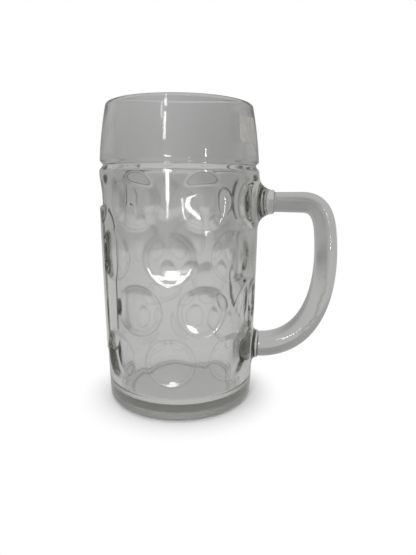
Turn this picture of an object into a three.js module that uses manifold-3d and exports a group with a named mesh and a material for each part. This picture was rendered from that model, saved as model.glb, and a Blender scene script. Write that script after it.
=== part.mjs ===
// One-litre beer mug of pressed glass, with a dimpled wall, a bar handle and a paper sticker on the rim band.
// Millimetres, +Z up. The pieces are drawn about the mug's own axis, with the handle along +X, and the whole
// mug is then shifted so that the origin lies on the table under the middle of its footprint.

import * as THREE from "three";
import { mergeVertices } from "three/addons/utils/BufferGeometryUtils.js";
import Module from "manifold-3d";

const wasm = await Module();
wasm.setup();

// Body: heights and outer radii
const mugHeight = 200;
const bandHeight = 38.2; // from the middle of the groove up to the rim
const shoulderRadius = 53.6; // the widest place of the wall, just under the groove
const heelRadius = 51.1; // the wall just above the rounded heel
const heelRounding = 5;
const wallBow = 0.6; // how far the wall swells out between heel and shoulder
const bandRadius = 53.1; // lower edge of the plain band
const bandBow = 0.55;
const grooveDepth = 1.8;
const grooveRise = 2.8; // from the bottom of the groove up to the band's edge
const grooveFall = 4.2; // from the bottom of the groove down to the shoulder

// Body: lip, inside and foot
const lipRadius = 48.6;
const lipThickness = 4;
const cavityRadius = 44; // inside, just above the rounded floor corner
const floorThickness = 8.6;
const floorRounding = 7;
const footRingWidth = 9;
const footHollow = 1.8; // how deep the underside is hollowed inside the ring it stands on

// Dimples, in staggered rows of round dishes
const dimpleRows = 4;
const dimpleColumns = 8;
const dimpleRadius = 16;
const dishDepth = 0.3; // how far a dish is hollowed below a flat facet of the same width
const dishSteepness = 1.25; // radial half-size of the pressing ellipsoid, in dimple depths
const topRowDrop = 23; // from the middle of the groove down to the middle of the first row
const rowPitch = 33;

// Plain panel opposite the handle
const panelWidth = 56;
const panelTopDrop = 26.6; // from the middle of the groove down to the panel's upper edge
const panelFootHeight = 36.2; // from the table up to its lower edge
const panelCorner = 14;
const panelRise = 0.5;

// Handle and the stubs it is joined to
const handleWidth = 20; // across, along Y
const handleTopThickness = 13.4; // in the plane of the handle, at the upper end
const handleFootThickness = 17.6; // the same at the lower end
const sectionSquareness = 2.1; // 2 is an ellipse, higher is squarer
const upperStubLength = 11.1; // out from the wall
const upperStubStep = 1.4; // how far the stub stands proud of the bar
const upperRootDrop = 23.5; // from the middle of the groove down to the bar's centre line
const upperFillet = 10;
const lowerStubLength = 4;
const lowerStubStep = 0.8;
const lowerRootHeight = 37.3;
const lowerFillet = 5;
const topRun = 18; // straight length of the bar behind the upper stub
const bendLead = 13; // how far the bar's bend carries on outwards
const kneeReach = 46.2; // from the wall to the centre line just below the bend
const kneeDrop = 22.3; // how far that place lies below the straight length
const bowLean = 0.108; // outward slope of the bar there
const kneeLead = 12; // pull of the bend on that place
const bowLead = 46; // pull of the long bow below it
const footLead = 33.7; // how far the bow runs level towards the lower stub

// Sticker on the rim band
const labelWidth = 22;
const labelHeight = 16;
const labelCorner = 2.5;
const labelThickness = 0.25;
const labelAngle = -27; // middle of the sticker, degrees round from the handle
const labelLift = 20.7; // from the middle of the groove up to the middle of the sticker

// Gaps and fineness of the facets
const seatGap = 0.3; // left between pieces that touch
const rootSink = 1.5; // how far added forms run into the wall below the dimples
const filletBury = 0.5; // how far a fillet's edge runs below the wall, for a clean join
const turnSegments = 60;
const sectionPoints = 18;
const barSteps = 42;

const grooveHeight = mugHeight - bandHeight;
const lipHeight = mugHeight - lipThickness / 2;
const degree = Math.PI / 180;

function lerp(from, to, share) {
  return from + (to - from) * share;
}

// Outer radius of the plain wall between heel and shoulder
function wallRadius(z) {
  const share = (z - heelRounding) / (grooveHeight - grooveFall - heelRounding);
  return lerp(heelRadius, shoulderRadius, share) + 4 * wallBow * share * (1 - share);
}

// Outer radius of the band between groove and lip
function bandOuter(z) {
  const share = (z - grooveHeight - grooveRise) / (lipHeight - grooveHeight - grooveRise);
  return lerp(bandRadius, lipRadius, share) + 4 * bandBow * share * (1 - share);
}

// Outer radius through the groove, which is a smooth hollow between shoulder and band
function grooveRadius(z) {
  const above = z > grooveHeight;
  const share = Math.abs(z - grooveHeight) / (above ? grooveRise : grooveFall);
  const middle = Math.min(shoulderRadius, bandRadius) - grooveDepth;
  return lerp(middle, above ? bandRadius : shoulderRadius, (1 - Math.cos(Math.PI * share)) / 2);
}

function samples(from, to, steps) {
  return Array.from({ length: steps + 1 }, (_, i) => lerp(from, to, i / steps));
}

function arcPoints(centreR, centreZ, radius, startAngle, endAngle, steps) {
  const point = (a) => new THREE.Vector2(centreR + radius * Math.cos(a), centreZ + radius * Math.sin(a));
  return samples(startAngle * degree, endAngle * degree, steps).map(point);
}

// A closed mesh from points and triangles, turned right side out
function closedGeometry(points, triangles) {
  const volume = triangles.reduce((sum, [a, b, c]) => {
    const cross = new THREE.Vector3().crossVectors(points[b], points[c]);
    return sum + points[a].dot(cross);
  }, 0);
  const facing = volume > 0 ? triangles : triangles.map(([a, b, c]) => [a, c, b]);
  const geometry = new THREE.BufferGeometry();
  geometry.setAttribute("position", new THREE.Float32BufferAttribute(points.flatMap((p) => p.toArray()), 3));
  geometry.setIndex(facing.flat());
  geometry.computeVertexNormals();
  return geometry;
}

// A skin over rings of equal point counts, closed with a fan at each end
function loft(rings) {
  const count = rings[0].length;
  const points = rings.flat();
  const triangles = [];
  for (let r = 0; r + 1 < rings.length; r++) {
    for (let i = 0; i < count; i++) {
      const a = r * count + i;
      const b = r * count + ((i + 1) % count);
      triangles.push([a, b, a + count], [b, b + count, a + count]);
    }
  }
  [0, rings.length - 1].forEach((r) => {
    const middle = new THREE.Vector3();
    rings[r].forEach((p) => middle.addScaledVector(p, 1 / count));
    const hub = points.push(middle) - 1;
    for (let i = 0; i < count; i++) {
      const a = r * count + i;
      const b = r * count + ((i + 1) % count);
      triangles.push(r === 0 ? [hub, b, a] : [hub, a, b]);
    }
  });
  return closedGeometry(points, triangles);
}

// Merges shared vertices and drops the triangles that collapse on the axis
function weld(geometry) {
  const bare = geometry.clone();
  bare.deleteAttribute("normal");
  bare.deleteAttribute("uv");
  const merged = mergeVertices(bare, 1e-4);
  const position = merged.getAttribute("position");
  const points = Array.from({ length: position.count }, (_, i) =>
    new THREE.Vector3().fromBufferAttribute(position, i));
  const index = merged.getIndex().array;
  const triangles = [];
  for (let i = 0; i < index.length; i += 3) {
    const [a, b, c] = index.slice(i, i + 3);
    if (a !== b && b !== c && c !== a) {
      triangles.push([a, b, c]);
    }
  }
  return closedGeometry(points, triangles);
}

function solidFrom(geometry) {
  const welded = weld(geometry);
  return new wasm.Manifold(new wasm.Mesh({
    numProp: 3,
    vertProperties: new Float32Array(welded.getAttribute("position").array),
    triVerts: new Uint32Array(welded.getIndex().array),
  }));
}

function geometryFrom(solid) {
  const { vertProperties, triVerts, numProp } = solid.getMesh();
  const geometry = new THREE.BufferGeometry();
  geometry.setAttribute("position", new THREE.BufferAttribute(vertProperties, numProp));
  geometry.setIndex(new THREE.BufferAttribute(triVerts, 1));
  geometry.computeVertexNormals();
  return geometry;
}

function revolve(profile) {
  return new THREE.LatheGeometry(profile, turnSegments).rotateX(Math.PI / 2);
}

// The plain vessel: foot, heel, wall, groove, band, lip, inside and floor on one profile
function vesselSolid() {
  const ringOuter = heelRadius - heelRounding;
  const ringInner = ringOuter - footRingWidth;
  const hollowRadius = ringInner - 2 * footHollow;
  const wallTop = grooveHeight - grooveFall;
  const bandFoot = grooveHeight + grooveRise;
  const profile = [
    new THREE.Vector2(0, footHollow),
    new THREE.Vector2(hollowRadius, footHollow),
    new THREE.Vector2(ringInner, 0),
    ...arcPoints(ringOuter, heelRounding, heelRounding, -90, 0, 4),
    ...samples(heelRounding, wallTop, 7).slice(1).map((z) => new THREE.Vector2(wallRadius(z), z)),
    ...samples(wallTop, grooveHeight, 4).slice(1).map((z) => new THREE.Vector2(grooveRadius(z), z)),
    ...samples(grooveHeight, bandFoot, 3).slice(1).map((z) => new THREE.Vector2(grooveRadius(z), z)),
    ...samples(bandFoot, lipHeight, 4).slice(1).map((z) => new THREE.Vector2(bandOuter(z), z)),
    ...arcPoints(lipRadius - lipThickness / 2, lipHeight, lipThickness / 2, 0, 180, 6).slice(1),
    ...arcPoints(cavityRadius - floorRounding, floorThickness + floorRounding, floorRounding, 0, -90, 4),
    new THREE.Vector2(0, floorThickness),
  ];
  return solidFrom(revolve(profile));
}

// Depth of a dimple: the rise of the wall across its width, and the dish below that
function dimpleDepth(radius) {
  return radius * (1 - Math.cos(dimpleRadius / radius)) + dishDepth;
}

// The ellipsoid that presses a dimple, sized so that its edge on the round wall is a circle
function dimplePress(angle, z) {
  const radius = wallRadius(z);
  const halfAngle = dimpleRadius / radius;
  const depth = dimpleDepth(radius);
  const radial = dishSteepness * depth;
  const centre = radius + radial - depth;
  const upright = dimpleRadius / Math.sqrt(1 - ((radial - depth) / radial) ** 2);
  const edgeGap = (centre - radius * Math.cos(halfAngle)) / radial;
  const across = (radius * Math.sin(halfAngle)) / Math.sqrt(1 - edgeGap ** 2);
  const press = new THREE.SphereGeometry(1, 20, 14);
  press.rotateZ(Math.PI / 2);
  press.scale(radial, across, upright);
  press.translate(centre, 0, 0);
  press.rotateZ(angle);
  press.translate(0, 0, z);
  return solidFrom(press);
}

const panelTop = grooveHeight - panelTopDrop;

function underPanel(angle, z) {
  const sideways = wallRadius(z) * Math.sin(angle);
  const behind = Math.cos(angle) < 0;
  return behind && Math.abs(sideways) < panelWidth / 2 && z > panelFootHeight && z < panelTop;
}

// Dimple places: every other row is turned by half a step, and the handle and the panel take some places
function dimplePlaces() {
  const step = (2 * Math.PI) / dimpleColumns;
  const places = [];
  for (let row = 0; row < dimpleRows; row++) {
    const z = grooveHeight - topRowDrop - row * rowPitch;
    const turned = row % 2 === 0;
    for (let column = 0; column < dimpleColumns; column++) {
      const angle = (column + (turned ? 0.5 : 0)) * step;
      const underHandle = !turned && column === 0;
      if (!underHandle && !underPanel(angle, z)) {
        places.push({ angle, z });
      }
    }
  }
  return places;
}

// The plain panel, an upright tablet that follows the wall
function panelSolid() {
  const sink = dimpleDepth(shoulderRadius) + rootSink;
  const half = panelWidth / 2;
  const outline = new THREE.Shape();
  outline.moveTo(-half, panelFootHeight + panelCorner);
  outline.absarc(panelCorner - half, panelFootHeight + panelCorner, panelCorner, Math.PI, 1.5 * Math.PI, false);
  outline.absarc(half - panelCorner, panelFootHeight + panelCorner, panelCorner, 1.5 * Math.PI, 2 * Math.PI, false);
  outline.absarc(half - panelCorner, panelTop - panelCorner, panelCorner, 0, 0.5 * Math.PI, false);
  outline.absarc(panelCorner - half, panelTop - panelCorner, panelCorner, 0.5 * Math.PI, Math.PI, false);
  const block = new THREE.ExtrudeGeometry(outline, {
    depth: shoulderRadius + wallBow + panelRise,
    bevelEnabled: false,
    curveSegments: 6,
  });
  block.rotateX(Math.PI / 2);
  block.rotateZ(-Math.PI / 2);
  const heights = samples(panelFootHeight - panelCorner, panelTop + panelCorner, 6);
  const skin = heights.map((z) => new THREE.Vector2(wallRadius(z) + panelRise, z));
  const back = heights.map((z) => new THREE.Vector2(wallRadius(z) - sink, z)).reverse();
  const sleeve = solidFrom(revolve([...skin, ...back, skin[0]]));
  return solidFrom(block).intersect(sleeve);
}

// One point of the rounded-oval section of bar and stubs
function sectionPoint(angle, halfThickness, halfWidth) {
  const power = 2 / sectionSquareness;
  const c = Math.cos(angle);
  const s = Math.sin(angle);
  return {
    thick: halfThickness * Math.sign(s) * Math.abs(s) ** power,
    wide: halfWidth * Math.sign(c) * Math.abs(c) ** power,
  };
}

function sectionAngles() {
  return Array.from({ length: sectionPoints }, (_, i) => (2 * Math.PI * i) / sectionPoints);
}

// A stub with a round fillet where it leaves the wall
function stubSolid(z, length, thickness, step, fillet) {
  const radius = wallRadius(z);
  const sink = dimpleDepth(radius) + rootSink;
  const reach = length + filletBury;
  const round = Math.min(fillet, reach);
  const outs = [-sink, ...samples(0, round, 6), reach];
  const rings = outs.map((out) => {
    const near = Math.min(Math.max(out, 0), round);
    const flare = fillet - Math.sqrt(Math.max(2 * fillet * near - near * near, 0));
    const flatness = near / round;
    return sectionAngles().map((angle) => {
      const { thick, wide } = sectionPoint(angle, thickness / 2 + step + flare, handleWidth / 2 + step + flare);
      const hollow = radius - Math.sqrt(radius * radius - wide * wide);
      const x = radius - filletBury + out - hollow * (1 - flatness);
      return new THREE.Vector3(x, wide, z + thick);
    });
  });
  return solidFrom(loft(rings));
}

const upperRootHeight = grooveHeight - upperRootDrop;

function bodyMesh() {
  const pressed = dimplePlaces().reduce(
    (solid, place) => solid.subtract(dimplePress(place.angle, place.z)), vesselSolid());
  const upperStub = stubSolid(upperRootHeight, upperStubLength, handleTopThickness, upperStubStep, upperFillet);
  const lowerStub = stubSolid(lowerRootHeight, lowerStubLength, handleFootThickness, lowerStubStep, lowerFillet);
  const whole = pressed.add(panelSolid()).add(upperStub).add(lowerStub);
  const glass = new THREE.MeshStandardMaterial({ color: 0xc3cbc4, roughness: 0.05, metalness: 0 });
  const mesh = new THREE.Mesh(geometryFrom(whole), glass);
  mesh.name = "mug_body";
  return mesh;
}

// Centre line of the bar in the XZ plane, from the upper stub round to the lower one
function handlePath() {
  const at = (x, z) => new THREE.Vector3(x, 0, z);
  const upperX = wallRadius(upperRootHeight) + upperStubLength + seatGap;
  const lowerX = wallRadius(lowerRootHeight) + lowerStubLength + seatGap;
  const bendX = upperX + topRun;
  const kneeX = shoulderRadius + kneeReach;
  const kneeZ = upperRootHeight - kneeDrop;
  const path = new THREE.CurvePath();
  path.add(new THREE.LineCurve3(at(upperX, upperRootHeight), at(bendX, upperRootHeight)));
  path.add(new THREE.CubicBezierCurve3(
    at(bendX, upperRootHeight),
    at(bendX + bendLead, upperRootHeight),
    at(kneeX - bowLean * kneeLead, kneeZ + kneeLead),
    at(kneeX, kneeZ),
  ));
  path.add(new THREE.CubicBezierCurve3(
    at(kneeX, kneeZ),
    at(kneeX + bowLean * bowLead, kneeZ - bowLead),
    at(lowerX + footLead, lowerRootHeight),
    at(lowerX, lowerRootHeight),
  ));
  return path;
}

function handleMesh() {
  const path = handlePath();
  const across = new THREE.Vector3(0, 1, 0);
  const rings = samples(0, 1, barSteps).map((share) => {
    const middle = path.getPointAt(share);
    const tangent = path.getTangentAt(share);
    const outward = new THREE.Vector3().crossVectors(tangent, across).normalize();
    const thickness = lerp(handleTopThickness, handleFootThickness, share);
    return sectionAngles().map((angle) => {
      const { thick, wide } = sectionPoint(angle, thickness / 2, handleWidth / 2);
      return middle.clone().addScaledVector(outward, thick).addScaledVector(across, wide);
    });
  });
  const glass = new THREE.MeshStandardMaterial({ color: 0xcdd3ce, roughness: 0.05, metalness: 0 });
  const mesh = new THREE.Mesh(loft(rings), glass);
  mesh.name = "handle";
  return mesh;
}

// Columns along the sticker, each with how much the rounded corners trim off its two ends
function labelColumns() {
  const half = labelWidth / 2;
  const rounded = samples(0, 90, 4).map((a) => ({
    along: half - labelCorner * (1 - Math.sin(a * degree)),
    trim: labelCorner * (1 - Math.cos(a * degree)),
  }));
  const straight = samples(labelCorner - half, half - labelCorner, 5).slice(1, -1);
  return [
    ...rounded.map(({ along, trim }) => ({ along: -along, trim })).reverse(),
    ...straight.map((along) => ({ along, trim: 0 })),
    ...rounded,
  ];
}

// The sticker is a thin skin that follows the band
function labelMesh() {
  const middleZ = grooveHeight + labelLift;
  const middleRadius = bandOuter(middleZ) + seatGap;
  const rings = labelColumns().map(({ along, trim }) => {
    const angle = labelAngle * degree + along / middleRadius;
    const reach = labelHeight / 2 - trim;
    const heights = samples(middleZ - reach, middleZ + reach, 4);
    const point = (z, lift) => {
      const radius = bandOuter(z) + seatGap + lift;
      return new THREE.Vector3(radius * Math.cos(angle), radius * Math.sin(angle), z);
    };
    const back = heights.map((z) => point(z, 0));
    const face = heights.map((z) => point(z, labelThickness)).reverse();
    return [...back, ...face];
  });
  const paper = new THREE.MeshStandardMaterial({ color: 0xb9b8b0, roughness: 0.85, metalness: 0 });
  const mesh = new THREE.Mesh(loft(rings), paper);
  mesh.name = "rim_label";
  return mesh;
}

const mug = new THREE.Group();
mug.add(bodyMesh(), handleMesh(), labelMesh());

// Stand the origin under the middle of the footprint
const footprint = new THREE.Box3().setFromObject(mug);
mug.position.x = -(footprint.min.x + footprint.max.x) / 2;
mug.position.y = -(footprint.min.y + footprint.max.y) / 2;
mug.updateMatrixWorld(true);

export default mug;
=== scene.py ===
import bpy
import math
import numpy as np
from mathutils import Matrix, Vector


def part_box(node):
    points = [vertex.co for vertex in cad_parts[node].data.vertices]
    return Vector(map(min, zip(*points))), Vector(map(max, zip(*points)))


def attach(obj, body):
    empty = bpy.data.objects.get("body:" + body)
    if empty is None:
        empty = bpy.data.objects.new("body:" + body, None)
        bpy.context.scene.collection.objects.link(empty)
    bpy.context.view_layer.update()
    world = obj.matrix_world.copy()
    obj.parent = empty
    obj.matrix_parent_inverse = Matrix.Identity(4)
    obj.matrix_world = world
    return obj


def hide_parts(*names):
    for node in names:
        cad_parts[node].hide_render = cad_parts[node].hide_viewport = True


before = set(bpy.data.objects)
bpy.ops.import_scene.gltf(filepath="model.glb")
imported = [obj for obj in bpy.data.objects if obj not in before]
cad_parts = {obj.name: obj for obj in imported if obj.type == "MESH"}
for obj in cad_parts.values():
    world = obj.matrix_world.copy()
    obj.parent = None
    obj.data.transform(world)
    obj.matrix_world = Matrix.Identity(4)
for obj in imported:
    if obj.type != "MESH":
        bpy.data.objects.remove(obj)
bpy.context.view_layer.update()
print("frame loaded with", ", ".join(sorted(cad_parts)))

mm = 0.001
degree = math.pi / 180
fullTurn = 2 * math.pi
scene = bpy.context.scene


# The mug's own axis, found from the lip, which is a ring round it
def findAxis():
    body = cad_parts["mug_body"].data.vertices
    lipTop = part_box("mug_body")[1].z - 1 * mm
    acrossLip = [v.co.x for v in body if v.co.z > lipTop]
    return (min(acrossLip) + max(acrossLip)) / 2


axisX = findAxis()


def blend(low, high, share):
    return low + (high - low) * share


def softMin(a, b, reach):
    near = np.maximum(reach - np.abs(a - b), 0) / reach
    return np.minimum(a, b) - near * near * reach / 4


def softMax(a, b, reach):
    return -softMin(-a, -b, reach)


def softStep(low, high, value):
    share = np.clip((value - low) / (high - low), 0, 1)
    return share * share * (3 - 2 * share)


# The shorter way round from one angle to another
def turnFrom(start, angle):
    return (angle - start + math.pi) % fullTurn - math.pi


# Body: the pressed vessel
vessel = {
    "height": 200 * mm,
    "bandHeight": 38.2 * mm,  # from the middle of the groove up to the rim
    "shoulderRadius": 53.6 * mm,
    "heelRadius": 51.1 * mm,
    "heelRounding": 5 * mm,
    "wallBow": 0.6 * mm,
    "bandRadius": 53.1 * mm,
    "bandBow": 0.55 * mm,
    "grooveDepth": 1.8 * mm,
    "grooveRise": 2.8 * mm,
    "grooveFall": 4.2 * mm,
    "lipRadius": 48.6 * mm,
    "lipThickness": 4 * mm,
    "cavityRadius": 44 * mm,
    "floorThickness": 8.6 * mm,
    "floorRounding": 7 * mm,
    "footRingWidth": 9 * mm,
    "footHollow": 1.8 * mm,
    "hubRadius": 4 * mm,  # innermost ring of the floor and of the underside
    "columns": 368,
}
grooveZ = vessel["height"] - vessel["bandHeight"]
lipZ = vessel["height"] - vessel["lipThickness"] / 2


def wallRadius(z):
    foot = vessel["heelRounding"]
    share = (z - foot) / (grooveZ - vessel["grooveFall"] - foot)
    straight = blend(vessel["heelRadius"], vessel["shoulderRadius"], share)
    return straight + 4 * vessel["wallBow"] * share * (1 - share)


def bandOuter(z):
    foot = grooveZ + vessel["grooveRise"]
    share = (z - foot) / (lipZ - foot)
    straight = blend(vessel["bandRadius"], vessel["lipRadius"], share)
    return straight + 4 * vessel["bandBow"] * share * (1 - share)


def grooveRadius(z):
    above = z > grooveZ
    share = np.abs(z - grooveZ) / np.where(above, vessel["grooveRise"], vessel["grooveFall"])
    middle = min(vessel["shoulderRadius"], vessel["bandRadius"]) - vessel["grooveDepth"]
    edge = np.where(above, vessel["bandRadius"], vessel["shoulderRadius"])
    return blend(middle, edge, (1 - np.cos(math.pi * np.clip(share, 0, 1))) / 2)


# Outer radius with nothing pressed into it
def plainRadius(z):
    z = np.asarray(z, float)
    inGroove = np.where(z > grooveZ + vessel["grooveRise"], bandOuter(z), grooveRadius(z))
    return np.where(z < grooveZ - vessel["grooveFall"], wallRadius(z), inGroove)


# Plain panel opposite the handle
panel = {
    "width": 56 * mm,
    "topDrop": 26.6 * mm,  # from the middle of the groove down to its upper edge
    "footHeight": 36.2 * mm,
    "corner": 14 * mm,
    "rise": 0.5 * mm,
    "edge": 2.2 * mm,
}
panelTop = grooveZ - panel["topDrop"]


def underPanel(angle, z):
    sideways = abs(wallRadius(z) * math.sin(angle))
    inHeight = panel["footHeight"] < z < panelTop
    return math.cos(angle) < 0 and sideways < panel["width"] / 2 and inHeight


# How far a point lies inside the panel's rounded outline
def insidePanel(angle, z):
    sideways = np.abs(wallRadius(z) * np.sin(angle))
    middle = (panelTop + panel["footHeight"]) / 2
    tall = (panelTop - panel["footHeight"]) / 2
    dx = sideways - (panel["width"] / 2 - panel["corner"])
    dz = np.abs(z - middle) - (tall - panel["corner"])
    outside = np.hypot(np.maximum(dx, 0), np.maximum(dz, 0)) + np.minimum(np.maximum(dx, dz), 0)
    return np.where(np.cos(angle) < 0, panel["corner"] - outside, -1.0)


# Dimples: round dishes in staggered rows. Depths and soft edges go row by row, from the top
dimples = {
    "rows": 4,
    "columns": 8,
    "radius": 16 * mm,
    "dishDepth": (0.6 * mm, 0.5 * mm, 0.3 * mm, 0.3 * mm),
    "softEdge": (1.25 * mm, 0.9 * mm, 0.9 * mm, 0.9 * mm),  # how far the fire polish rounds an edge
    "flatness": 3.1,  # how flat the middle of a dish is and how steep its sides
    "topRowDrop": 23.0 * mm,
    "rowPitch": 33.0 * mm,
    "sideReach": 60 * degree,  # farther round, or more radii away, a dish changes nothing
    "reach": 1.6,
}
farOut = 1.0  # a radius well clear of the mug
edgeReach = 8 * mm  # farther than this from a pressed edge nothing is marked


# The middle of each dish, as angle, height and row
def dimplePlaces():
    step = fullTurn / dimples["columns"]
    places = []
    for row in range(dimples["rows"]):
        z = grooveZ - dimples["topRowDrop"] - row * dimples["rowPitch"]
        turned = row % 2 == 0
        for column in range(dimples["columns"]):
            angle = (column + (0.5 if turned else 0)) * step
            underHandle = not turned and column == 0
            if not underHandle and not underPanel(angle, z):
                places.append((angle, z, row))
    return places


places = dimplePlaces()


# Where a line out from the axis meets one dimple: a nearly flat dish whose sides turn up to a round rim
def pressedRadius(angle, z, place):
    placeAngle, placeZ, row = place
    radius = wallRadius(placeZ)
    turn = turnFrom(placeAngle, angle)
    near = np.abs(turn) < dimples["sideReach"]
    along = np.where(near, turn, 0) * radius
    up = z - placeZ
    share = np.hypot(along, up) / dimples["radius"]
    around = np.arctan2(up, along)
    rimZ = placeZ + dimples["radius"] * np.sin(around)
    rim = wallRadius(rimZ) * np.cos(dimples["radius"] * np.cos(around) / radius)
    flat = radius * math.cos(dimples["radius"] / radius) - dimples["dishDepth"][row]
    dish = blend(flat, rim, share ** dimples["flatness"])
    return np.where(near & (share < dimples["reach"]), dish / np.cos(along / radius), farOut)


# Outer radius with dimples and panel, without the stubs
def pressedWall(angle, z):
    plain = plainRadius(z)
    radius = plain
    for place in places:
        row = place[2]
        radius = softMin(radius, pressedRadius(angle, z, place), dimples["softEdge"][row])
    cover = softStep(-panel["edge"] / 2, panel["edge"] / 2, insidePanel(angle, z))
    return blend(radius, plain + panel["rise"], cover)


# Distance from a point on the wall to the nearest pressed edge, less than zero inside a dish
def edgeDistance(angle, z):
    nearest = np.full_like(angle, edgeReach)
    for placeAngle, placeZ, _ in places:
        along = turnFrom(placeAngle, angle) * wallRadius(placeZ)
        across = np.hypot(along, z - placeZ) - dimples["radius"]
        nearest = np.where(np.abs(across) < np.abs(nearest), across, nearest)
    return np.where(insidePanel(angle, z) > 0, edgeReach, nearest)


# Handle bar, and the stubs that it is joined to
handle = {
    "width": 20 * mm,
    "topThickness": 13.4 * mm,
    "footThickness": 17.6 * mm,
    "squareness": 2.1,  # 2 is an ellipse, higher is squarer
    "topRun": 18 * mm,
    "bendLead": 13 * mm,
    "kneeReach": 46.2 * mm,
    "kneeDrop": 22.3 * mm,
    "bowLean": 0.108,
    "kneeLead": 12 * mm,
    "bowLead": 46 * mm,
    "footLead": 33.7 * mm,
    "seatGap": 0.06 * mm,
    "endRounding": 0.15 * mm,
    "pathPoints": (200, 400, 1200),  # along the run, the bend and the bow, before they are evened out
    "steps": 240,
    "points": 96,
}
upperStub = {
    "height": grooveZ - 23.5 * mm,
    "length": 11.1 * mm,
    "step": 1.4 * mm,
    "fillet": 10 * mm,
    "thickness": handle["topThickness"],
    "endRounding": 0.15 * mm,
}
lowerStub = {
    "height": 37.3 * mm,
    "length": 4 * mm,
    "step": 0.8 * mm,
    "fillet": 3.6 * mm,
    "thickness": handle["footThickness"],
    "endRounding": 0.15 * mm,
}
stubs = (upperStub, lowerStub)
stubRoots = {
    "sideMargin": 2.4 * mm,  # wall rebuilt beside a fillet
    "heightMargin": 1.6 * mm,  # wall rebuilt over and under it
    "endSlope": 0.4,  # past this slope a fillet runs straight on into the dimples
    "softness": 1.2 * mm,
    "reachAngle": 50 * degree,  # farther round than this the stubs change nothing
    "unmarkedRise": 0.3 * mm,  # pressed edges buried deeper than this in a fillet aren't marked
    "wallSettles": 6,  # how often a place on the wall is worked out again
    "rootSettles": 5,
}


def ovalRadius(turn, halfWide, halfThick):
    power = handle["squareness"]
    c = np.abs(np.cos(turn)) / halfWide
    s = np.abs(np.sin(turn)) / halfThick
    return (c ** power + s ** power) ** (-1 / power)


def stubOval(stub, turn):
    return ovalRadius(turn, handle["width"] / 2 + stub["step"], stub["thickness"] / 2 + stub["step"])


# Height of a stub's fillet over the plain wall, by the distance outside the stub's oval
def filletHeight(stub, outside):
    fillet = stub["fillet"]
    endSlope = stubRoots["endSlope"]
    q = endSlope / math.sqrt(1 + endSlope ** 2)
    endAt = fillet * (1 - q)
    endHeight = fillet * (1 - math.sqrt(1 - q * q))
    s = np.clip(outside, 0, endAt)
    curve = fillet - np.sqrt(np.maximum(2 * fillet * s - s * s, 0))
    return np.where(outside > endAt, endHeight - endSlope * (outside - endAt), curve)


def stubOutside(stub, y, z):
    dz = z - stub["height"]
    return np.hypot(y, dz) - stubOval(stub, np.arctan2(dz, y))


# The pressed wall as a distance along X at a place across and up, on the handle's side
def wallAcross(y, z):
    x = np.sqrt(plainRadius(z) ** 2 - y * y)
    for _ in range(stubRoots["wallSettles"]):
        radius = pressedWall(np.arctan2(y, x), z)
        x = np.sqrt(radius ** 2 - y * y)
    return x


# The same wall with both stubs' fillets
def rootedAcross(y, z):
    x = wallAcross(y, z)
    plain = np.sqrt(plainRadius(z) ** 2 - y * y)
    for stub in stubs:
        outside = np.maximum(stubOutside(stub, y, z), 0)
        x = softMax(x, plain + filletHeight(stub, outside), stubRoots["softness"])
    return x


def outerRadius(angle, z):
    radius = pressedWall(angle, z)
    front = np.abs(angle) < stubRoots["reachAngle"]
    a = angle[front]
    r = radius[front]
    for _ in range(stubRoots["rootSettles"]):
        r = rootedAcross(r * np.sin(a), z[front]) / np.cos(a)
    radius[front] = r
    return radius


def makeObject(name, points, faces, material, slotName, *nodes):
    mesh = bpy.data.meshes.new(name)
    mesh.from_pydata(points, [], faces)
    mesh.validate()
    piece = bpy.data.objects.new(name, mesh)
    scene.collection.objects.link(piece)
    mesh.polygons.foreach_set("use_smooth", [True] * len(mesh.polygons))
    mesh.materials.append(material)
    mesh.update()
    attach(piece, "root")
    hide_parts(*nodes)
    print("made", name, "with", len(mesh.polygons), "faces")
    return piece


# Keeps each point's distance from the nearest pressed edge or fold, for the painted shade lines in the glass
def keepDistance(piece, distances):
    kept = piece.data.attributes.new("edgeDistance", "FLOAT", "POINT")
    kept.data.foreach_set("value", distances)


def joinRings(faces, lower, upper):
    count = len(lower)
    for i in range(count):
        j = (i + 1) % count
        faces.append((lower[i], lower[j], upper[j], upper[i]))


def closeRing(points, faces, ring, hubPoint, flip=False):
    hub = len(points)
    points.append(hubPoint)
    for a, b in zip(ring, ring[1:] + ring[:1]):
        faces.append((b, a, hub) if flip else (a, b, hub))


# How many rings each stretch of the body is made with
bodyRings = {
    "hollow": 7,
    "hollowEdge": 6,
    "footRing": 3,
    "heel": 9,
    "wall": 150,
    "groove": 18,
    "band": 10,
    "lip": 14,
    "cavity": 8,
    "floorCorner": 10,
    "floor": 6,
}


def arc(centreR, centreZ, radius, start, end, steps):
    turns = np.linspace(start * degree, end * degree, steps + 1)
    return [(centreR + radius * math.cos(t), centreZ + radius * math.sin(t)) for t in turns]


# Plain rings below the wall, from the middle of the underside out and round the heel
def footProfile():
    ringOuter = vessel["heelRadius"] - vessel["heelRounding"]
    ringInner = ringOuter - vessel["footRingWidth"]
    hollow = vessel["footHollow"]
    slope = 2 * hollow
    across = np.linspace(vessel["hubRadius"], ringInner - slope, bodyRings["hollow"])
    rings = [(r, hollow) for r in across]
    for share in np.linspace(0, 1, bodyRings["hollowEdge"] + 1)[1:]:
        rings.append((ringInner - slope * (1 - share), hollow * (1 - softStep(0, 1, share))))
    rings += [(r, 0.0) for r in np.linspace(ringInner, ringOuter, bodyRings["footRing"] + 2)[1:-1]]
    rounding = vessel["heelRounding"]
    return rings + arc(ringOuter, rounding, rounding, -90, 0, bodyRings["heel"])[:-1]


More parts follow.
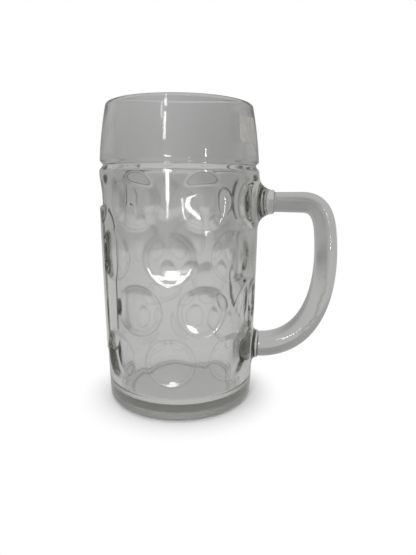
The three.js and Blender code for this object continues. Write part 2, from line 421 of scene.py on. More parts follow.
# Rings over the lip, down the inside and across the floor
def insideProfile():
    half = vessel["lipThickness"] / 2
    rings = arc(vessel["lipRadius"] - half, lipZ, half, 0, 180, bodyRings["lip"])[1:]
    floorTop = vessel["floorThickness"]
    corner = vessel["floorRounding"]
    topRadius = vessel["lipRadius"] - vessel["lipThickness"]
    footZ = floorTop + corner
    for share in np.linspace(0, 1, bodyRings["cavity"] + 2)[1:-1]:
        rings.append((blend(topRadius, vessel["cavityRadius"], share), blend(lipZ, footZ, share)))
    cornerRadius = vessel["cavityRadius"] - corner
    rings += arc(cornerRadius, footZ, corner, 0, -90, bodyRings["floorCorner"])
    across = np.linspace(cornerRadius, vessel["hubRadius"], bodyRings["floor"] + 1)
    return rings + [(r, floorTop) for r in across[1:]]


# Heights of the wall's rings, closer together through the groove
def wallHeights():
    grooveFoot = grooveZ - vessel["grooveFall"] - 1 * mm
    grooveHead = grooveZ + vessel["grooveRise"] + 1 * mm
    wall = np.linspace(vessel["heelRounding"], grooveFoot, bodyRings["wall"])
    groove = np.linspace(grooveFoot, grooveHead, bodyRings["groove"])
    band = np.linspace(grooveHead, lipZ, bodyRings["band"])
    return np.concatenate([wall, groove[1:], band[1:]])


# The part of the wall's grid that each stub is built into: first and last row, first and last column
def stubWindows(angles, heights, footRings):
    windows = []
    for stub in stubs:
        wide = handle["width"] / 2 + stub["step"] + stub["fillet"] + stubRoots["sideMargin"]
        tall = stub["thickness"] / 2 + stub["step"] + stub["fillet"] + stubRoots["heightMargin"]
        reach = math.asin(wide / wallRadius(stub["height"]))
        inColumns = np.nonzero(np.abs(angles) <= reach)[0]
        inRows = np.nonzero(np.abs(heights - stub["height"]) <= tall)[0] + footRings
        windows.append((inRows[0], inRows[-1], inColumns[0], inColumns[-1]))
    return windows


# How many rings each stretch of a stub is made with, and where those of its end lie
stubRings = {
    "margin": 7,
    "fillet": 18,
    "length": 8,
    "endRounding": (30, 60, 90),  # degrees
    "endFace": (0.8, 0.6, 0.4, 0.2),  # shares of its size
}


# Fills a window left in the wall with rings that run up the fillet, along the stub and over its end
def addStub(points, faces, border, stub):
    edge = np.array([points[i] for i in border])
    dy = edge[:, 1]
    dz = edge[:, 2] - stub["height"]
    turn = np.arctan2(dz, dy)
    far = np.hypot(dy, dz)
    oval = stubOval(stub, turn)
    fillet = stub["fillet"]
    rings = []  # distance out from the stub's middle, and place along X where the wall doesn't give it
    for share in np.linspace(0, 1, stubRings["margin"] + 1)[1:]:
        rings.append((blend(far, oval + fillet, share), None))
    for lean in np.linspace(0, 90, stubRings["fillet"] + 1)[1:]:
        rings.append((oval + fillet * (1 - math.sin(lean * degree)), None))
    endX = wallRadius(stub["height"]) + stub["length"]
    rounding = stub["endRounding"]
    bar = ovalRadius(turn, handle["width"] / 2, stub["thickness"] / 2)
    wallAtOval = plainRadius(stub["height"] + oval * np.sin(turn))
    footX = np.sqrt(wallAtOval ** 2 - (oval * np.cos(turn)) ** 2) + fillet
    for share in np.linspace(0, 1, stubRings["length"] + 1)[1:]:
        rings.append((blend(oval, bar, softStep(0, 1, share)), blend(footX, endX - rounding, share)))
    for lean in stubRings["endRounding"]:
        shrink = rounding * (1 - math.cos(lean * degree))
        ahead = endX - rounding + rounding * math.sin(lean * degree)
        rings.append((bar - shrink, np.full_like(bar, ahead)))
    for share in stubRings["endFace"]:
        rings.append(((bar - rounding) * share, np.full_like(bar, endX)))
    last = list(border)
    for distance, x in rings:
        y = distance * np.cos(turn)
        z = stub["height"] + distance * np.sin(turn)
        along = rootedAcross(y, z) if x is None else x
        start = len(points)
        points.extend(zip(along.tolist(), y.tolist(), z.tolist()))
        ring = list(range(start, len(points)))
        joinRings(faces, last, ring)
        last = ring
    closeRing(points, faces, last, (endX, 0.0, stub["height"]))


def makeBody(material):
    columns = vessel["columns"]
    angles = np.linspace(-math.pi, math.pi, columns, endpoint=False)
    foot = footProfile()
    heights = wallHeights()
    gridZ, gridAngle = np.meshgrid(heights, angles, indexing="ij")
    wall = outerRadius(gridAngle, gridZ)
    rings = foot + list(zip(wall, heights)) + insideProfile()
    points = []
    for radius, z in rings:
        x = radius * np.cos(angles)
        y = radius * np.sin(angles)
        points.extend(zip(x.tolist(), y.tolist(), [float(z)] * columns))

    def at(ring, column):
        return ring * columns + column % columns

    windows = stubWindows(angles, heights, len(foot))
    faces = []
    for r in range(len(rings) - 1):
        for c in range(columns):
            if not any(r0 <= r < r1 and c0 <= c < c1 for r0, r1, c0, c1 in windows):
                faces.append((at(r, c), at(r, c + 1), at(r + 1, c + 1), at(r + 1, c)))
    for (r0, r1, c0, c1), stub in zip(windows, stubs):
        border = [at(r0, c) for c in range(c0, c1)]
        border += [at(r, c1) for r in range(r0, r1)]
        border += [at(r1, c) for c in range(c1, c0, -1)]
        border += [at(r, c0) for r in range(r1, r0, -1)]
        addStub(points, faces, border, stub)
    underside = [at(0, c) for c in range(columns)]
    floor = [at(len(rings) - 1, c) for c in range(columns)]
    closeRing(points, faces, underside, (0.0, 0.0, vessel["footHollow"]), flip=True)
    closeRing(points, faces, floor, (0.0, 0.0, vessel["floorThickness"]))
    points = [(x + axisX, y, z) for x, y, z in points]
    body = makeObject("mugBody", points, faces, material, "clear_glass", "mug_body")

    onWall = edgeDistance(gridAngle, gridZ)
    onWall[wall - pressedWall(gridAngle, gridZ) > stubRoots["unmarkedRise"]] = edgeReach
    distances = np.full(len(points), edgeReach)
    first = len(foot) * columns
    distances[first:first + onWall.size] = onWall.ravel()
    keepDistance(body, distances)


def bezier(a, b, c, d, steps):
    t = np.linspace(0, 1, steps + 1)[:, None]
    a, b, c, d = (np.array(p) for p in (a, b, c, d))
    return a * (1 - t) ** 3 + 3 * b * t * (1 - t) ** 2 + 3 * c * t * t * (1 - t) + d * t ** 3


# Centre line of the bar in the XZ plane, as evenly spaced points
def handlePath(steps):
    upperZ = upperStub["height"]
    lowerZ = lowerStub["height"]
    upperX = wallRadius(upperZ) + upperStub["length"] + handle["seatGap"]
    lowerX = wallRadius(lowerZ) + lowerStub["length"] + handle["seatGap"]
    bendX = upperX + handle["topRun"]
    kneeX = vessel["shoulderRadius"] + handle["kneeReach"]
    kneeZ = upperZ - handle["kneeDrop"]
    lean = handle["bowLean"]
    alongRun, alongBend, alongBow = handle["pathPoints"]
    run = np.linspace((upperX, upperZ), (bendX, upperZ), alongRun)
    bend = bezier((bendX, upperZ), (bendX + handle["bendLead"], upperZ),
                  (kneeX - lean * handle["kneeLead"], kneeZ + handle["kneeLead"]), (kneeX, kneeZ), alongBend)
    bow = bezier((kneeX, kneeZ), (kneeX + lean * handle["bowLead"], kneeZ - handle["bowLead"]),
                 (lowerX + handle["footLead"], lowerZ), (lowerX, lowerZ), alongBow)
    line = np.concatenate([run, bend[1:], bow[1:]])
    gone = np.concatenate([[0], np.cumsum(np.hypot(*np.diff(line, axis=0).T))])
    want = np.linspace(0, gone[-1], steps + 1)
    even = np.stack([np.interp(want, gone, line[:, k]) for k in (0, 1)], axis=1)
    return even, gone[-1]


# The shallow fold that hot glass keeps from being bent. Its places along the bar run from 0 at the upper stub
# to 1 at the lower one
folds = {
    "places": ((0.03, 0.2), (0.44, 0.86)),
    "depth": 0.22 * mm,
    "half": 0.13,  # half its width, as an angle round the bar
    "turn": 3.14,  # the side of the bar that it lies on, as an angle too
    "wander": 0.07,
    "waves": ((43, 1.0), (151, 0.5)),  # how often it wanders along the bar, and how far
    "fade": 0.2,
    "endGap": 2 * mm,
}


# Depth of the fold round one ring of the bar, and each point's distance from its line
def foldLine(turns, share, halfThick):
    depth = 0.0
    distance = np.full_like(turns, edgeReach)
    drift = sum(far * math.sin(often * share) for often, far in folds["waves"])
    off = np.abs(turnFrom(folds["turn"] + folds["wander"] * drift, turns))
    for start, end in folds["places"]:
        fade = (end - start) * folds["fade"]
        along = softStep(start, start + fade, share) * (1 - softStep(end - fade, end, share))
        depth = depth + folds["depth"] * along * np.exp(-(off / folds["half"]) ** 2)
        distance = np.minimum(distance, off * halfThick + (1 - along) * folds["endGap"])
    return depth, distance


endRings = {
    "face": (0.2, 0.4, 0.6, 0.8),  # shares of its size
    "rounding": (90, 70, 50, 30, 10),  # degrees
}


# Rings over one end of the bar: place, outward direction, scale, inset and shift along X
def barEnd(place, outward):
    rounding = handle["endRounding"]
    rings = [(place, outward, share, rounding, 0.0) for share in endRings["face"]]
    for lean in endRings["rounding"]:
        inset = rounding * (1 - math.cos(lean * degree))
        ahead = rounding * (1 - math.sin(lean * degree))
        rings.append((place, outward, 1.0, inset, ahead))
    return rings


def makeHandle(material):
    steps = handle["steps"]
    line, length = handlePath(steps)
    tangent = np.gradient(line, axis=0)
    tangent[0] = (1, 0)
    tangent[-1] = (-1, 0)
    tangent /= np.linalg.norm(tangent, axis=1)[:, None]
    outward = np.stack([-tangent[:, 1], tangent[:, 0]], axis=1)
    turns = np.linspace(0, fullTurn, handle["points"], endpoint=False)
    upperEnd = barEnd(line[0], outward[0])
    lowerEnd = barEnd(line[-1], outward[-1])
    firstStep = math.ceil(handle["endRounding"] * steps / length) + 1
    bar = [(line[i], outward[i], 1.0, 0.0, 0.0) for i in range(firstStep, steps - firstStep + 1)]
    points = []
    faces = []
    distances = []
    last = None
    for n, (middle, out, scale, inset, ahead) in enumerate(upperEnd + bar + lowerEnd[::-1]):
        share = min(max((n - len(upperEnd)) / len(bar), 0), 1)
        thickness = blend(handle["topThickness"], handle["footThickness"], share)
        fold, distance = foldLine(turns, share, thickness / 2)
        size = (ovalRadius(turns, handle["width"] / 2, thickness / 2) - fold - inset) * scale
        thick = size * np.sin(turns)
        x = middle[0] + out[0] * thick + ahead + axisX
        z = middle[1] + out[1] * thick
        start = len(points)
        points.extend(zip(x.tolist(), (size * np.cos(turns)).tolist(), z.tolist()))
        distances.extend(distance)
        ring = list(range(start, len(points)))
        if last:
            joinRings(faces, last, ring)
        last = ring
    closeRing(points, faces, list(range(handle["points"])), (line[0][0] + axisX, 0.0, line[0][1]), flip=True)
    closeRing(points, faces, last, (line[-1][0] + axisX, 0.0, line[-1][1]))
    piece = makeObject("handleBar", points, faces, material, "clear_glass", "handle")
    keepDistance(piece, distances + [edgeReach, edgeReach])


# Sticker on the rim band
sticker = {
    "width": 22 * mm,
    "height": 16 * mm,
    "corner": 2.5 * mm,
    "thickness": 0.16 * mm,
    "glueGap": 0.12 * mm,
    "angle": -27 * degree,
    "lift": 20.7 * mm,  # from the middle of the groove up to the middle of the sticker
    "curl": 0.35 * mm,
    "freeEdge": 3 * mm,  # how much of one end has come loose
    "wave": 2.3 * mm,
    "waveShare": 0.4,  # how much of the curl comes and goes along the loose end
    "columns": 72,
    "rows": 52,
}


def makeSticker(material):
    columns, rows = sticker["columns"], sticker["rows"]
    middleZ = grooveZ + sticker["lift"]
    middleRadius = bandOuter(middleZ)
    half = sticker["width"] / 2
    corner = sticker["corner"]
    points = []
    for lift in (0.0, sticker["thickness"]):
        for i in range(columns + 1):
            along = -half + sticker["width"] * i / columns
            over = max(abs(along) - (half - corner), 0)
            trim = corner - math.sqrt(max(corner ** 2 - over ** 2, 0))
            reach = sticker["height"] / 2 - trim
            angle = sticker["angle"] + along / middleRadius
            loose = max(0.0, 1 - (along + half) / sticker["freeEdge"]) ** 2
            for j in range(rows + 1):
                up = -reach + 2 * reach * j / rows
                z = middleZ + up
                wave = blend(1, math.sin(up / sticker["wave"]), sticker["waveShare"])
                radius = bandOuter(z) + sticker["glueGap"] + lift + sticker["curl"] * loose * wave
                points.append((radius * math.cos(angle) + axisX, radius * math.sin(angle), z))

    def at(side, i, j):
        return (side * (columns + 1) + i) * (rows + 1) + j

    faces = []
    for i in range(columns):
        for j in range(rows):
            faces.append((at(1, i, j), at(1, i + 1, j), at(1, i + 1, j + 1), at(1, i, j + 1)))
            faces.append((at(0, i, j), at(0, i, j + 1), at(0, i + 1, j + 1), at(0, i + 1, j)))
    for i in range(columns):
        faces.append((at(0, i, 0), at(0, i + 1, 0), at(1, i + 1, 0), at(1, i, 0)))
        faces.append((at(0, i, rows), at(1, i, rows), at(1, i + 1, rows), at(0, i + 1, rows)))
    for j in range(rows):
        faces.append((at(0, 0, j), at(1, 0, j), at(1, 0, j + 1), at(0, 0, j + 1)))
        faces.append((at(0, columns, j), at(0, columns, j + 1), at(1, columns, j + 1), at(1, columns, j)))
    makeObject("rimSticker", points, faces, material, "sticker_paper", "rim_label")


# Node helpers
def newNode(tree, kind, **inputs):
    node = tree.nodes.new(kind)
    for name, value in inputs.items():
        node.inputs[name].default_value = value
    return node


def link(tree, fromNode, output, toNode, socket):
    tree.links.new(fromNode.outputs[output], toNode.inputs[socket])


def mathNode(tree, operation, first, second=None):
    node = tree.nodes.new("ShaderNodeMath")
    node.operation = operation
    for socket, value in ((0, first), (1, second)):
        if isinstance(value, (int, float)):
            node.inputs[socket].default_value = value
        elif value is not None:
            tree.links.new(value, node.inputs[socket])
    return node.outputs["Value"]


def rangeNode(tree, value, fromLow, fromHigh, toLow=0.0, toHigh=1.0, smooth=False):
    node = tree.nodes.new("ShaderNodeMapRange")
    if smooth:
        node.interpolation_type = "SMOOTHSTEP"
    numbers = {"From Min": fromLow, "From Max": fromHigh, "To Min": toLow, "To Max": toHigh}
    for name, number in numbers.items():
        node.inputs[name].default_value = number
    tree.links.new(value, node.inputs["Value"])
    return node


def splitPlace(tree, place):
    split = newNode(tree, "ShaderNodeSeparateXYZ")
    link(tree, place, "Object", split, "Vector")
    return split.outputs


def emptyMaterial(name):
    material = bpy.data.materials.new(name)
    material.use_nodes = True
    tree = material.node_tree
    tree.nodes.clear()
    return material, tree, newNode(tree, "ShaderNodeOutputMaterial")


# An empty node group with number sockets, and its two end nodes
def startGroup(name, inputs, outputs):
    group = bpy.data.node_groups.new(name, "ShaderNodeTree")
    for socket, value in inputs.items():
        made = group.interface.new_socket(name=socket, in_out="INPUT", socket_type="NodeSocketFloat")
        made.default_value = value
    for socket in outputs:
        group.interface.new_socket(name=socket, in_out="OUTPUT", socket_type="NodeSocketFloat")
    return group, newNode(group, "NodeGroupInput"), newNode(group, "NodeGroupOutput")


def placeGroup(tree, group, socket, value):
    node = tree.nodes.new("ShaderNodeGroup")
    node.node_tree = group
    node.inputs[socket].default_value = value
    return node


# Pressed glass is never quite even: slow ripples from the mould, a few smears from washing, a scuffed foot
surfaceLook = {
    "sockets": {"Ripple Scale": 60.0, "Smear Scale": 18.0, "Clean Roughness": 0.06, "Smear Roughness": 0.1},
    "smearFrom": 0.56,
    "smearTo": 0.75,
    "scuffTop": 2.8 * mm,
    "scuffFoot": 1.9 * mm,
    "scuffRoughness": 0.45,
}


def makePressedSurface():
    group, given, out = startGroup("pressedSurface", surfaceLook["sockets"], ("Height", "Roughness"))
    place = newNode(group, "ShaderNodeTexCoord")
    ripple = newNode(group, "ShaderNodeTexNoise", Detail=1.0, Roughness=0.4)
    link(group, place, "Object", ripple, "Vector")
    link(group, given, "Ripple Scale", ripple, "Scale")
    link(group, ripple, "Fac", out, "Height")
    smear = newNode(group, "ShaderNodeTexNoise", Detail=6.0, Roughness=0.6, Distortion=1.2)
    link(group, place, "Object", smear, "Vector")
    link(group, given, "Smear Scale", smear, "Scale")
    patch = rangeNode(group, smear.outputs["Fac"], surfaceLook["smearFrom"], surfaceLook["smearTo"])
    link(group, given, "Clean Roughness", patch, "To Min")
    link(group, given, "Smear Roughness", patch, "To Max")
    scuff = rangeNode(group, splitPlace(group, place)["Z"], surfaceLook["scuffTop"], surfaceLook["scuffFoot"],
                      0.0, surfaceLook["scuffRoughness"])
    rough = mathNode(group, "MAXIMUM", patch.outputs["Result"], scuff.outputs["Result"])
    group.links.new(rough, out.inputs["Roughness"])
    return group


# Painted shade: a soft dark line along each pressed edge and fold, in place of the darker lines that bending
# light draws there, broken up in patches and fainter higher up
edgeShadeLook = {
    "color": (0.44, 0.46, 0.40, 1.0),
    "lines": ((0.0, 0.75 * mm, 0.6), (-2.6 * mm, 0.7 * mm, 0.3)),  # place, width and share of each line
    "roughness": 0.25,
    "patchScale": 55.0,
    "patchFrom": 0.35,
    "patchTo": 0.6,
    "faint": 0.5,
    "fadeHeights": (85 * mm, 140 * mm),
    "fadeTo": 0.3,
}


def makeEdgeShade():
    group, given, out = startGroup("paintedEdgeShade", {"Strength": 1.0}, ("PaintedShade", "Roughness"))
    edge = newNode(group, "ShaderNodeAttribute")
    edge.attribute_name = "edgeDistance"
    shadeLines = None
    for offset, width, share in edgeShadeLook["lines"]:
        away = mathNode(group, "DIVIDE", mathNode(group, "SUBTRACT", edge.outputs["Fac"], offset), width)
        falling = mathNode(group, "MULTIPLY", mathNode(group, "MULTIPLY", away, away), -1.0)
        line = mathNode(group, "MULTIPLY", mathNode(group, "EXPONENT", falling), share)
        shadeLines = line if shadeLines is None else mathNode(group, "MAXIMUM", shadeLines, line)
    group.links.new(mathNode(group, "MULTIPLY", shadeLines, edgeShadeLook["roughness"]), out.inputs["Roughness"])
    place = newNode(group, "ShaderNodeTexCoord")
    patchy = newNode(group, "ShaderNodeTexNoise", Scale=edgeShadeLook["patchScale"], Detail=2.0)
    link(group, place, "Object", patchy, "Vector")
    patches = (edgeShadeLook["patchFrom"], edgeShadeLook["patchTo"], edgeShadeLook["faint"])
    broken = rangeNode(group, patchy.outputs["Fac"], *patches)
    fade = rangeNode(group, splitPlace(group, place)["Z"], *edgeShadeLook["fadeHeights"], 1.0, edgeShadeLook["fadeTo"])
    for factor in (broken.outputs["Result"], fade.outputs["Result"], given.outputs["Strength"]):
        shadeLines = mathNode(group, "MULTIPLY", shadeLines, factor)
    group.links.new(shadeLines, out.inputs["PaintedShade"])
    return group


glassLook = {
    "ior": 1.52,
    "depthColor": (0.5, 0.51, 0.43, 1.0),
    "depthDensity": 15.0,
    "rippleDepth": 0.25 * mm,
}
bodyLook = {
    "tint": (0.979, 0.979, 0.982, 1.0),
    "rippleScale": 55.0,
    "rippleStrength": 0.05,
    "edgeShadeStrength": 1.0,
}
# The bar's glass is tinted darker than the body's, though it is the same glass: painted shade that gives the
# bar its grey tone
handleLook = {
    "tint": (0.855, 0.86, 0.855, 1.0),
    "rippleScale": 160.0,
    "rippleStrength": 0.25,
    "edgeShadeStrength": 1.6,
}


def makeGlass(name, look, pressedSurface, paintedEdgeShade):
    material, tree, out = emptyMaterial(name)
    glass = newNode(tree, "ShaderNodeBsdfPrincipled", IOR=glassLook["ior"])
    glass.inputs["Transmission Weight"].default_value = 1.0
    surface = placeGroup(tree, pressedSurface, "Ripple Scale", look["rippleScale"])
    bump = newNode(tree, "ShaderNodeBump", Strength=look["rippleStrength"], Distance=glassLook["rippleDepth"])
    link(tree, surface, "Height", bump, "Height")
    link(tree, bump, "Normal", glass, "Normal")
    # The glass's tint, darkened to the painted shade colour along the pressed edges and folds
    edges = placeGroup(tree, paintedEdgeShade, "Strength", look["edgeShadeStrength"])
    tint = newNode(tree, "ShaderNodeMixRGB", Color1=look["tint"], Color2=edgeShadeLook["color"])
    link(tree, edges, "PaintedShade", tint, "Fac")
    link(tree, tint, "Color", glass, "Base Color")
    rough = mathNode(tree, "MAXIMUM", surface.outputs["Roughness"], edges.outputs["Roughness"])
    tree.links.new(rough, glass.inputs["Roughness"])
    depth = newNode(tree, "ShaderNodeVolumeAbsorption", Color=glassLook["depthColor"],
                    Density=glassLook["depthDensity"])
    link(tree, glass, "BSDF", out, "Surface")
    link(tree, depth, "Volume", out, "Volume")
    return material


paperLook = {
    "pale": (0.36, 0.354, 0.335, 1.0),
    "aged": (0.30, 0.293, 0.274, 1.0),
    "paleFrom": 0.6,
    "agedTo": 0.25,
    "roughness": 0.78,
    "fibreScale": 900.0,
    "ageScale": 140.0,
    "fibreDepth": 0.1 * mm,
    "bump": 0.12,
}


def makePaper():
    material, tree, out = emptyMaterial("stickerPaper")
    paper = newNode(tree, "ShaderNodeBsdfPrincipled", Roughness=paperLook["roughness"])
    place = newNode(tree, "ShaderNodeTexCoord")
    fibre = newNode(tree, "ShaderNodeTexNoise", Scale=paperLook["fibreScale"], Detail=8.0, Roughness=0.7)
    age = newNode(tree, "ShaderNodeTexNoise", Scale=paperLook["ageScale"], Detail=4.0, Roughness=0.6)
    link(tree, place, "Object", fibre, "Vector")
    link(tree, place, "Object", age, "Vector")
    ramp = newNode(tree, "ShaderNodeValToRGB")
    aged, pale = ramp.color_ramp.elements
    aged.color, aged.position = paperLook["aged"], paperLook["agedTo"]
    pale.color, pale.position = paperLook["pale"], paperLook["paleFrom"]
    link(tree, age, "Fac", ramp, "Fac")
    link(tree, ramp, "Color", paper, "Base Color")
    bump = newNode(tree, "ShaderNodeBump", Strength=paperLook["bump"], Distance=paperLook["fibreDepth"])
    link(tree, fibre, "Fac", bump, "Height")
    link(tree, bump, "Normal", paper, "Normal")
    link(tree, paper, "BSDF", out, "Surface")
    return material


# 1 for rays that show the background: from the camera, in reflections and through glass
def backgroundRays(tree):
    path = newNode(tree, "ShaderNodeLightPath").outputs
    seen = mathNode(tree, "MAXIMUM", path["Is Camera Ray"], path["Is Glossy Ray"])
    return mathNode(tree, "MAXIMUM", seen, path["Is Transmission Ray"])


backdrop = {
    "white": (1.0, 1.0, 1.0, 1.0),
    "ambient": 0.86,
    "floorColor": (0.95, 0.95, 0.95, 1.0),
    "floorDrop": 0.3 * mm,
    "floorSize": 12.0,
    "shadowFades": (46 * mm, 76 * mm),  # from the mug's axis
}


def makeWorld():
    scene.world = bpy.data.worlds.new("studioWorld")
    scene.world.use_nodes = True
    tree = scene.world.node_tree
    background = tree.nodes["Background"]
    background.inputs["Color"].default_value = backdrop["white"]
    level = rangeNode(tree, backgroundRays(tree), 0.0, 1.0, backdrop["ambient"], 1.0)
    link(tree, level, "Result", background, "Strength")


def makeFloor():
    half = backdrop["floorSize"] / 2
    z = -backdrop["floorDrop"]
    corners = [(-half, -half, z), (half, -half, z), (half, half, z), (-half, half, z)]
    mesh = bpy.data.meshes.new("studioFloor")
    mesh.from_pydata(corners, [], [(0, 1, 2, 3)])
    floor = bpy.data.objects.new("studioFloor", mesh)
    scene.collection.objects.link(floor)
    material, tree, out = emptyMaterial("floorPaint")
    paint = newNode(tree, "ShaderNodeBsdfDiffuse", Color=backdrop["floorColor"])
    far = newNode(tree, "ShaderNodeEmission", Color=backdrop["white"])
    place = newNode(tree, "ShaderNodeTexCoord")
    away = newNode(tree, "ShaderNodeVectorMath")
    away.operation = "DISTANCE"
    away.inputs[1].default_value = (axisX, 0, 0)
    link(tree, place, "Object", away, 0)
    fade = rangeNode(tree, away.outputs["Value"], *backdrop["shadowFades"], smooth=True)
    mix = newNode(tree, "ShaderNodeMixShader")
    share = mathNode(tree, "MULTIPLY", fade.outputs["Result"], backgroundRays(tree))
    tree.links.new(share, mix.inputs["Fac"])
    link(tree, paint, "BSDF", mix, 1)
    link(tree, far, "Emission", mix, 2)
    link(tree, mix, "Shader", out, "Surface")
    mesh.materials.append(material)


# White tent, as glass is photographed, that grows greyer far out and up, to draw the glass's edges
tentLook = {
    "radius": 1.3,
    "height": 1.5,
    "level": 0.6,
    "canopyTop": 0.35,
    "canopyShade": 0.1,
    # The tent's floor within 0.13 of the axis is a little darker than farther out: a painted shadow of the
    # mug, seen only in the glass
    "floorLevels": ((0.0, 0.97), (0.13, 0.97), (0.3, 1.0), (0.6, 0.97), (1.3, 0.755)),  # by distance
    "ringsUp": 24,
    "columns": 96,
    "tip": 0.001,  # share of the radius that is left open at the top
}

# Soft grey flags in the tent: the way each one lies from the mug, half its width, its soft edge, its level
# and how far out it sets in. A run-out keeps a flag off the wall, and wallOnly keeps one off the floor
flags = {
    "right": {"turn": 10, "half": 25, "soft": 8, "level": 0.65, "start": 0.07, "end": 0.13},
    "left": {"turn": 190, "half": 25, "soft": 8, "level": 0.7, "start": 0.07, "end": 0.13},
    "farRight": {"turn": 61, "half": 20, "soft": 8, "level": 0.6, "start": 0.3, "end": 0.75, "runOut": 0.7},
    "backRight": {"turn": 85, "half": 11, "soft": 6, "level": 0.85, "start": 0.9, "end": 1.1,
                  "wallOnly": True},
}


def flagShade(tree, turn, distance, onWall, flag):
    turned = mathNode(tree, "SUBTRACT", turn, flag["turn"] * degree)
    off = mathNode(tree, "ARCCOSINE", mathNode(tree, "COSINE", turned))
    inner = (flag["half"] - flag["soft"]) * degree
    outer = (flag["half"] + flag["soft"]) * degree
    edge = rangeNode(tree, off, inner, outer, 1 - flag["level"], 0.0, smooth=True)
    grow = rangeNode(tree, distance, flag["start"], flag["end"], smooth=True)
    shade = mathNode(tree, "MULTIPLY", edge.outputs["Result"], grow.outputs["Result"])
    if flag.get("wallOnly"):
        shade = mathNode(tree, "MULTIPLY", shade, onWall)
    if "runOut" in flag:
        runOut = rangeNode(tree, distance, flag["runOut"], tentLook["radius"], 1.0, 0.0, smooth=True)
        shade = mathNode(tree, "MULTIPLY", shade, runOut.outputs["Result"])
    return mathNode(tree, "SUBTRACT", 1.0, shade)


def makeTentCloth():
    material, tree, out = emptyMaterial("tentCloth")
    cloth = newNode(tree, "ShaderNodeEmission")
    place = splitPlace(tree, newNode(tree, "ShaderNodeTexCoord"))
    fromAxis = mathNode(tree, "SUBTRACT", place["X"], axisX)
    turn = mathNode(tree, "ARCTAN2", place["Y"], fromAxis)
    outFromMug = newNode(tree, "ShaderNodeCombineXYZ")
    tree.links.new(fromAxis, outFromMug.inputs["X"])
    tree.links.new(place["Y"], outFromMug.inputs["Y"])
    measure = newNode(tree, "ShaderNodeVectorMath")
    measure.operation = "LENGTH"
    link(tree, outFromMug, "Vector", measure, 0)
    distance = measure.outputs["Value"]
    onWall = mathNode(tree, "GREATER_THAN", place["Z"], 1 * mm)
    canopy = rangeNode(tree, place["Z"], 0.0, tentLook["canopyTop"], 0.0, tentLook["canopyShade"])
    lit = mathNode(tree, "SUBTRACT", 1.0, mathNode(tree, "MULTIPLY", canopy.outputs["Result"], onWall))
    farthest = tentLook["floorLevels"][-1][0]
    levels = newNode(tree, "ShaderNodeValToRGB")
    levels.color_ramp.interpolation = "EASE"
    stops = levels.color_ramp.elements
    while len(stops) < len(tentLook["floorLevels"]):
        stops.new(0.5)
    for stop, (far, level) in zip(stops, tentLook["floorLevels"]):
        stop.position = far / farthest
        stop.color = (level, level, level, 1.0)
    tree.links.new(mathNode(tree, "DIVIDE", distance, farthest), levels.inputs["Fac"])
    lit = mathNode(tree, "MULTIPLY", lit, levels.outputs["Color"])
    for flag in flags.values():
        lit = mathNode(tree, "MULTIPLY", lit, flagShade(tree, turn, distance, onWall, flag))
    tree.links.new(mathNode(tree, "MULTIPLY", lit, tentLook["level"]), cloth.inputs["Strength"])
    link(tree, cloth, "Emission", out, "Surface")
    material.cycles.emission_sampling = "NONE"
    return material


def makeTent():
    columns = tentLook["columns"]
    rings = [(1 * mm, -0.1 * mm)]  # the tent's own floor starts under the middle of the mug
    for lift in np.linspace(0, math.pi / 2, tentLook["ringsUp"] + 1):
        reach = tentLook["radius"] * max(math.cos(lift), tentLook["tip"])
        rings.append((reach, tentLook["height"] * math.sin(lift)))
    points = []
    faces = []
    for reach, z in rings:
        for turn in np.linspace(0, fullTurn, columns, endpoint=False):
            points.append((axisX + reach * math.cos(turn), reach * math.sin(turn), z))
    for r in range(len(rings) - 1):
        joinRings(faces, range(r * columns, (r + 1) * columns), range((r + 1) * columns, (r + 2) * columns))
    mesh = bpy.data.meshes.new("lightTent")
    mesh.from_pydata(points, [], faces)
    mesh.materials.append(makeTentCloth())
    tent = bpy.data.objects.new("lightTent", mesh)
    scene.collection.objects.link(tent)
    tent.visible_camera = False
    tent.visible_diffuse = False
    tent.visible_shadow = False


# Lamps, placed from the middle of the foot. Each one points at a height on the mug's axis, and shows in the
# glass unless mirrored is False
lamps = {
    "overhead": {"at": (0.0, 0.1, 1.7), "aim": 0.1, "size": (1.5, 1.5), "power": 4.0, "mirrored": False},
    "bandStrip": {"at": (-0.163, -0.681, 0.45), "aim": 0.2, "size": (0.04, 0.13), "power": 0.22},
    "bandTop": {"at": (-0.163, -0.681, 0.6), "aim": 0.2, "size": (0.045, 0.08), "power": 0.16},
    "leftCard": {"at": (-0.0562, -0.3758, 0.2), "aim": 0.2, "size": (0.07, 0.068), "power": 0.21},
    "leftFoot": {"at": (-0.0562, -0.3758, 0.1455), "aim": 0.1455, "size": (0.029, 0.041), "power": 0.052},
    "leftTail": {"at": (-0.0562, -0.3758, 0.115), "aim": 0.115, "size": (0.015, 0.02), "power": 0.013},
    "floorSpot": {"at": (-0.165, -1.088, 0.155), "aim": 0.155, "size": (0.05, 0.11), "power": 0.25},
    "lowCard": {"at": (0.736, -0.817, 0.215), "aim": 0.13, "size": (0.036, 0.43), "power": 1.0},
}


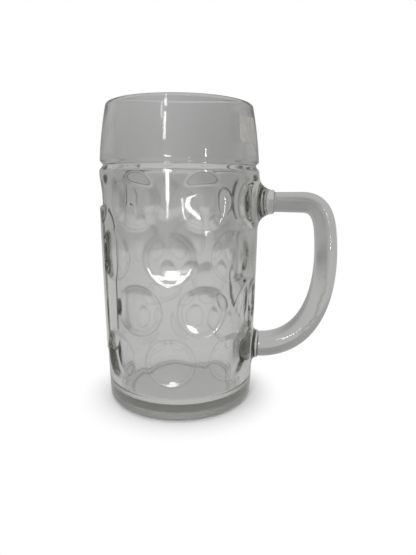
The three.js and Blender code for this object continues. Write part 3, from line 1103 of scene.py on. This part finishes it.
def makeLamp(name, values):
    light = bpy.data.lights.new(name, "AREA")
    light.shape = "RECTANGLE"
    light.size, light.size_y = values["size"]
    light.energy = values["power"]
    lamp = bpy.data.objects.new(name, light)
    at = Vector(values["at"]) + Vector((axisX, 0, 0))
    aim = Vector((axisX, 0, values["aim"]))
    lamp.matrix_world = Matrix.Translation(at) @ (aim - at).to_track_quat("-Z", "Y").to_matrix().to_4x4()
    lamp.visible_glossy = values.get("mirrored", True)
    lamp.visible_transmission = False
    scene.collection.objects.link(lamp)


# Camera at the photograph's place. The image is 416 by 555
view = {
    "turn": 7.5,  # degrees that the camera stands round towards the handle
    "distance": 314.8 * mm,
    "height": 148.2 * mm,
    "yaw": 3.55,
    "pitch": 11.42,
    "roll": 0.45,
    "focalPixels": 449.7,
    "imageHeight": 555,
    "sensor": 36.0,
}


def makeCamera():
    data = bpy.data.cameras.new("photoCamera")
    data.sensor_width = view["sensor"]
    data.lens = view["focalPixels"] * view["sensor"] / view["imageHeight"]
    data.clip_start = 10 * mm
    camera = bpy.data.objects.new("photoCamera", data)
    yaw, pitch, roll = (view[k] * degree for k in ("yaw", "pitch", "roll"))
    ahead = Vector((math.sin(yaw) * math.cos(pitch), math.cos(yaw) * math.cos(pitch), -math.sin(pitch)))
    right = Vector((math.cos(yaw), -math.sin(yaw), 0))
    up = right.cross(ahead)
    rolledRight = math.cos(roll) * right + math.sin(roll) * up
    rolledUp = -math.sin(roll) * right + math.cos(roll) * up
    facing = Matrix((rolledRight, rolledUp, -ahead)).transposed().to_4x4()
    stand = Matrix.Translation((0, -view["distance"], view["height"])) @ facing
    roundMug = Matrix.Translation((axisX, 0, 0)) @ Matrix.Rotation(view["turn"] * degree, 4, "Z")
    camera.matrix_world = roundMug @ stand
    scene.collection.objects.link(camera)
    scene.camera = camera


makeCamera()
pressedSurface = makePressedSurface()
paintedEdgeShade = makeEdgeShade()
makeBody(makeGlass("bodyGlass", bodyLook, pressedSurface, paintedEdgeShade))
makeHandle(makeGlass("handleGlass", handleLook, pressedSurface, paintedEdgeShade))
makeSticker(makePaper())

makeWorld()
makeFloor()
makeTent()
for lampName, lampValues in lamps.items():
    makeLamp(lampName, lampValues)
scene.view_settings.view_transform = "Standard"
scene.cycles.max_bounces = 24  # light bends many times inside thick glass
scene.cycles.transmission_bounces = 24
scene.cycles.glossy_bounces = 16
print("studio ready")

bpy.context.view_layer.update()
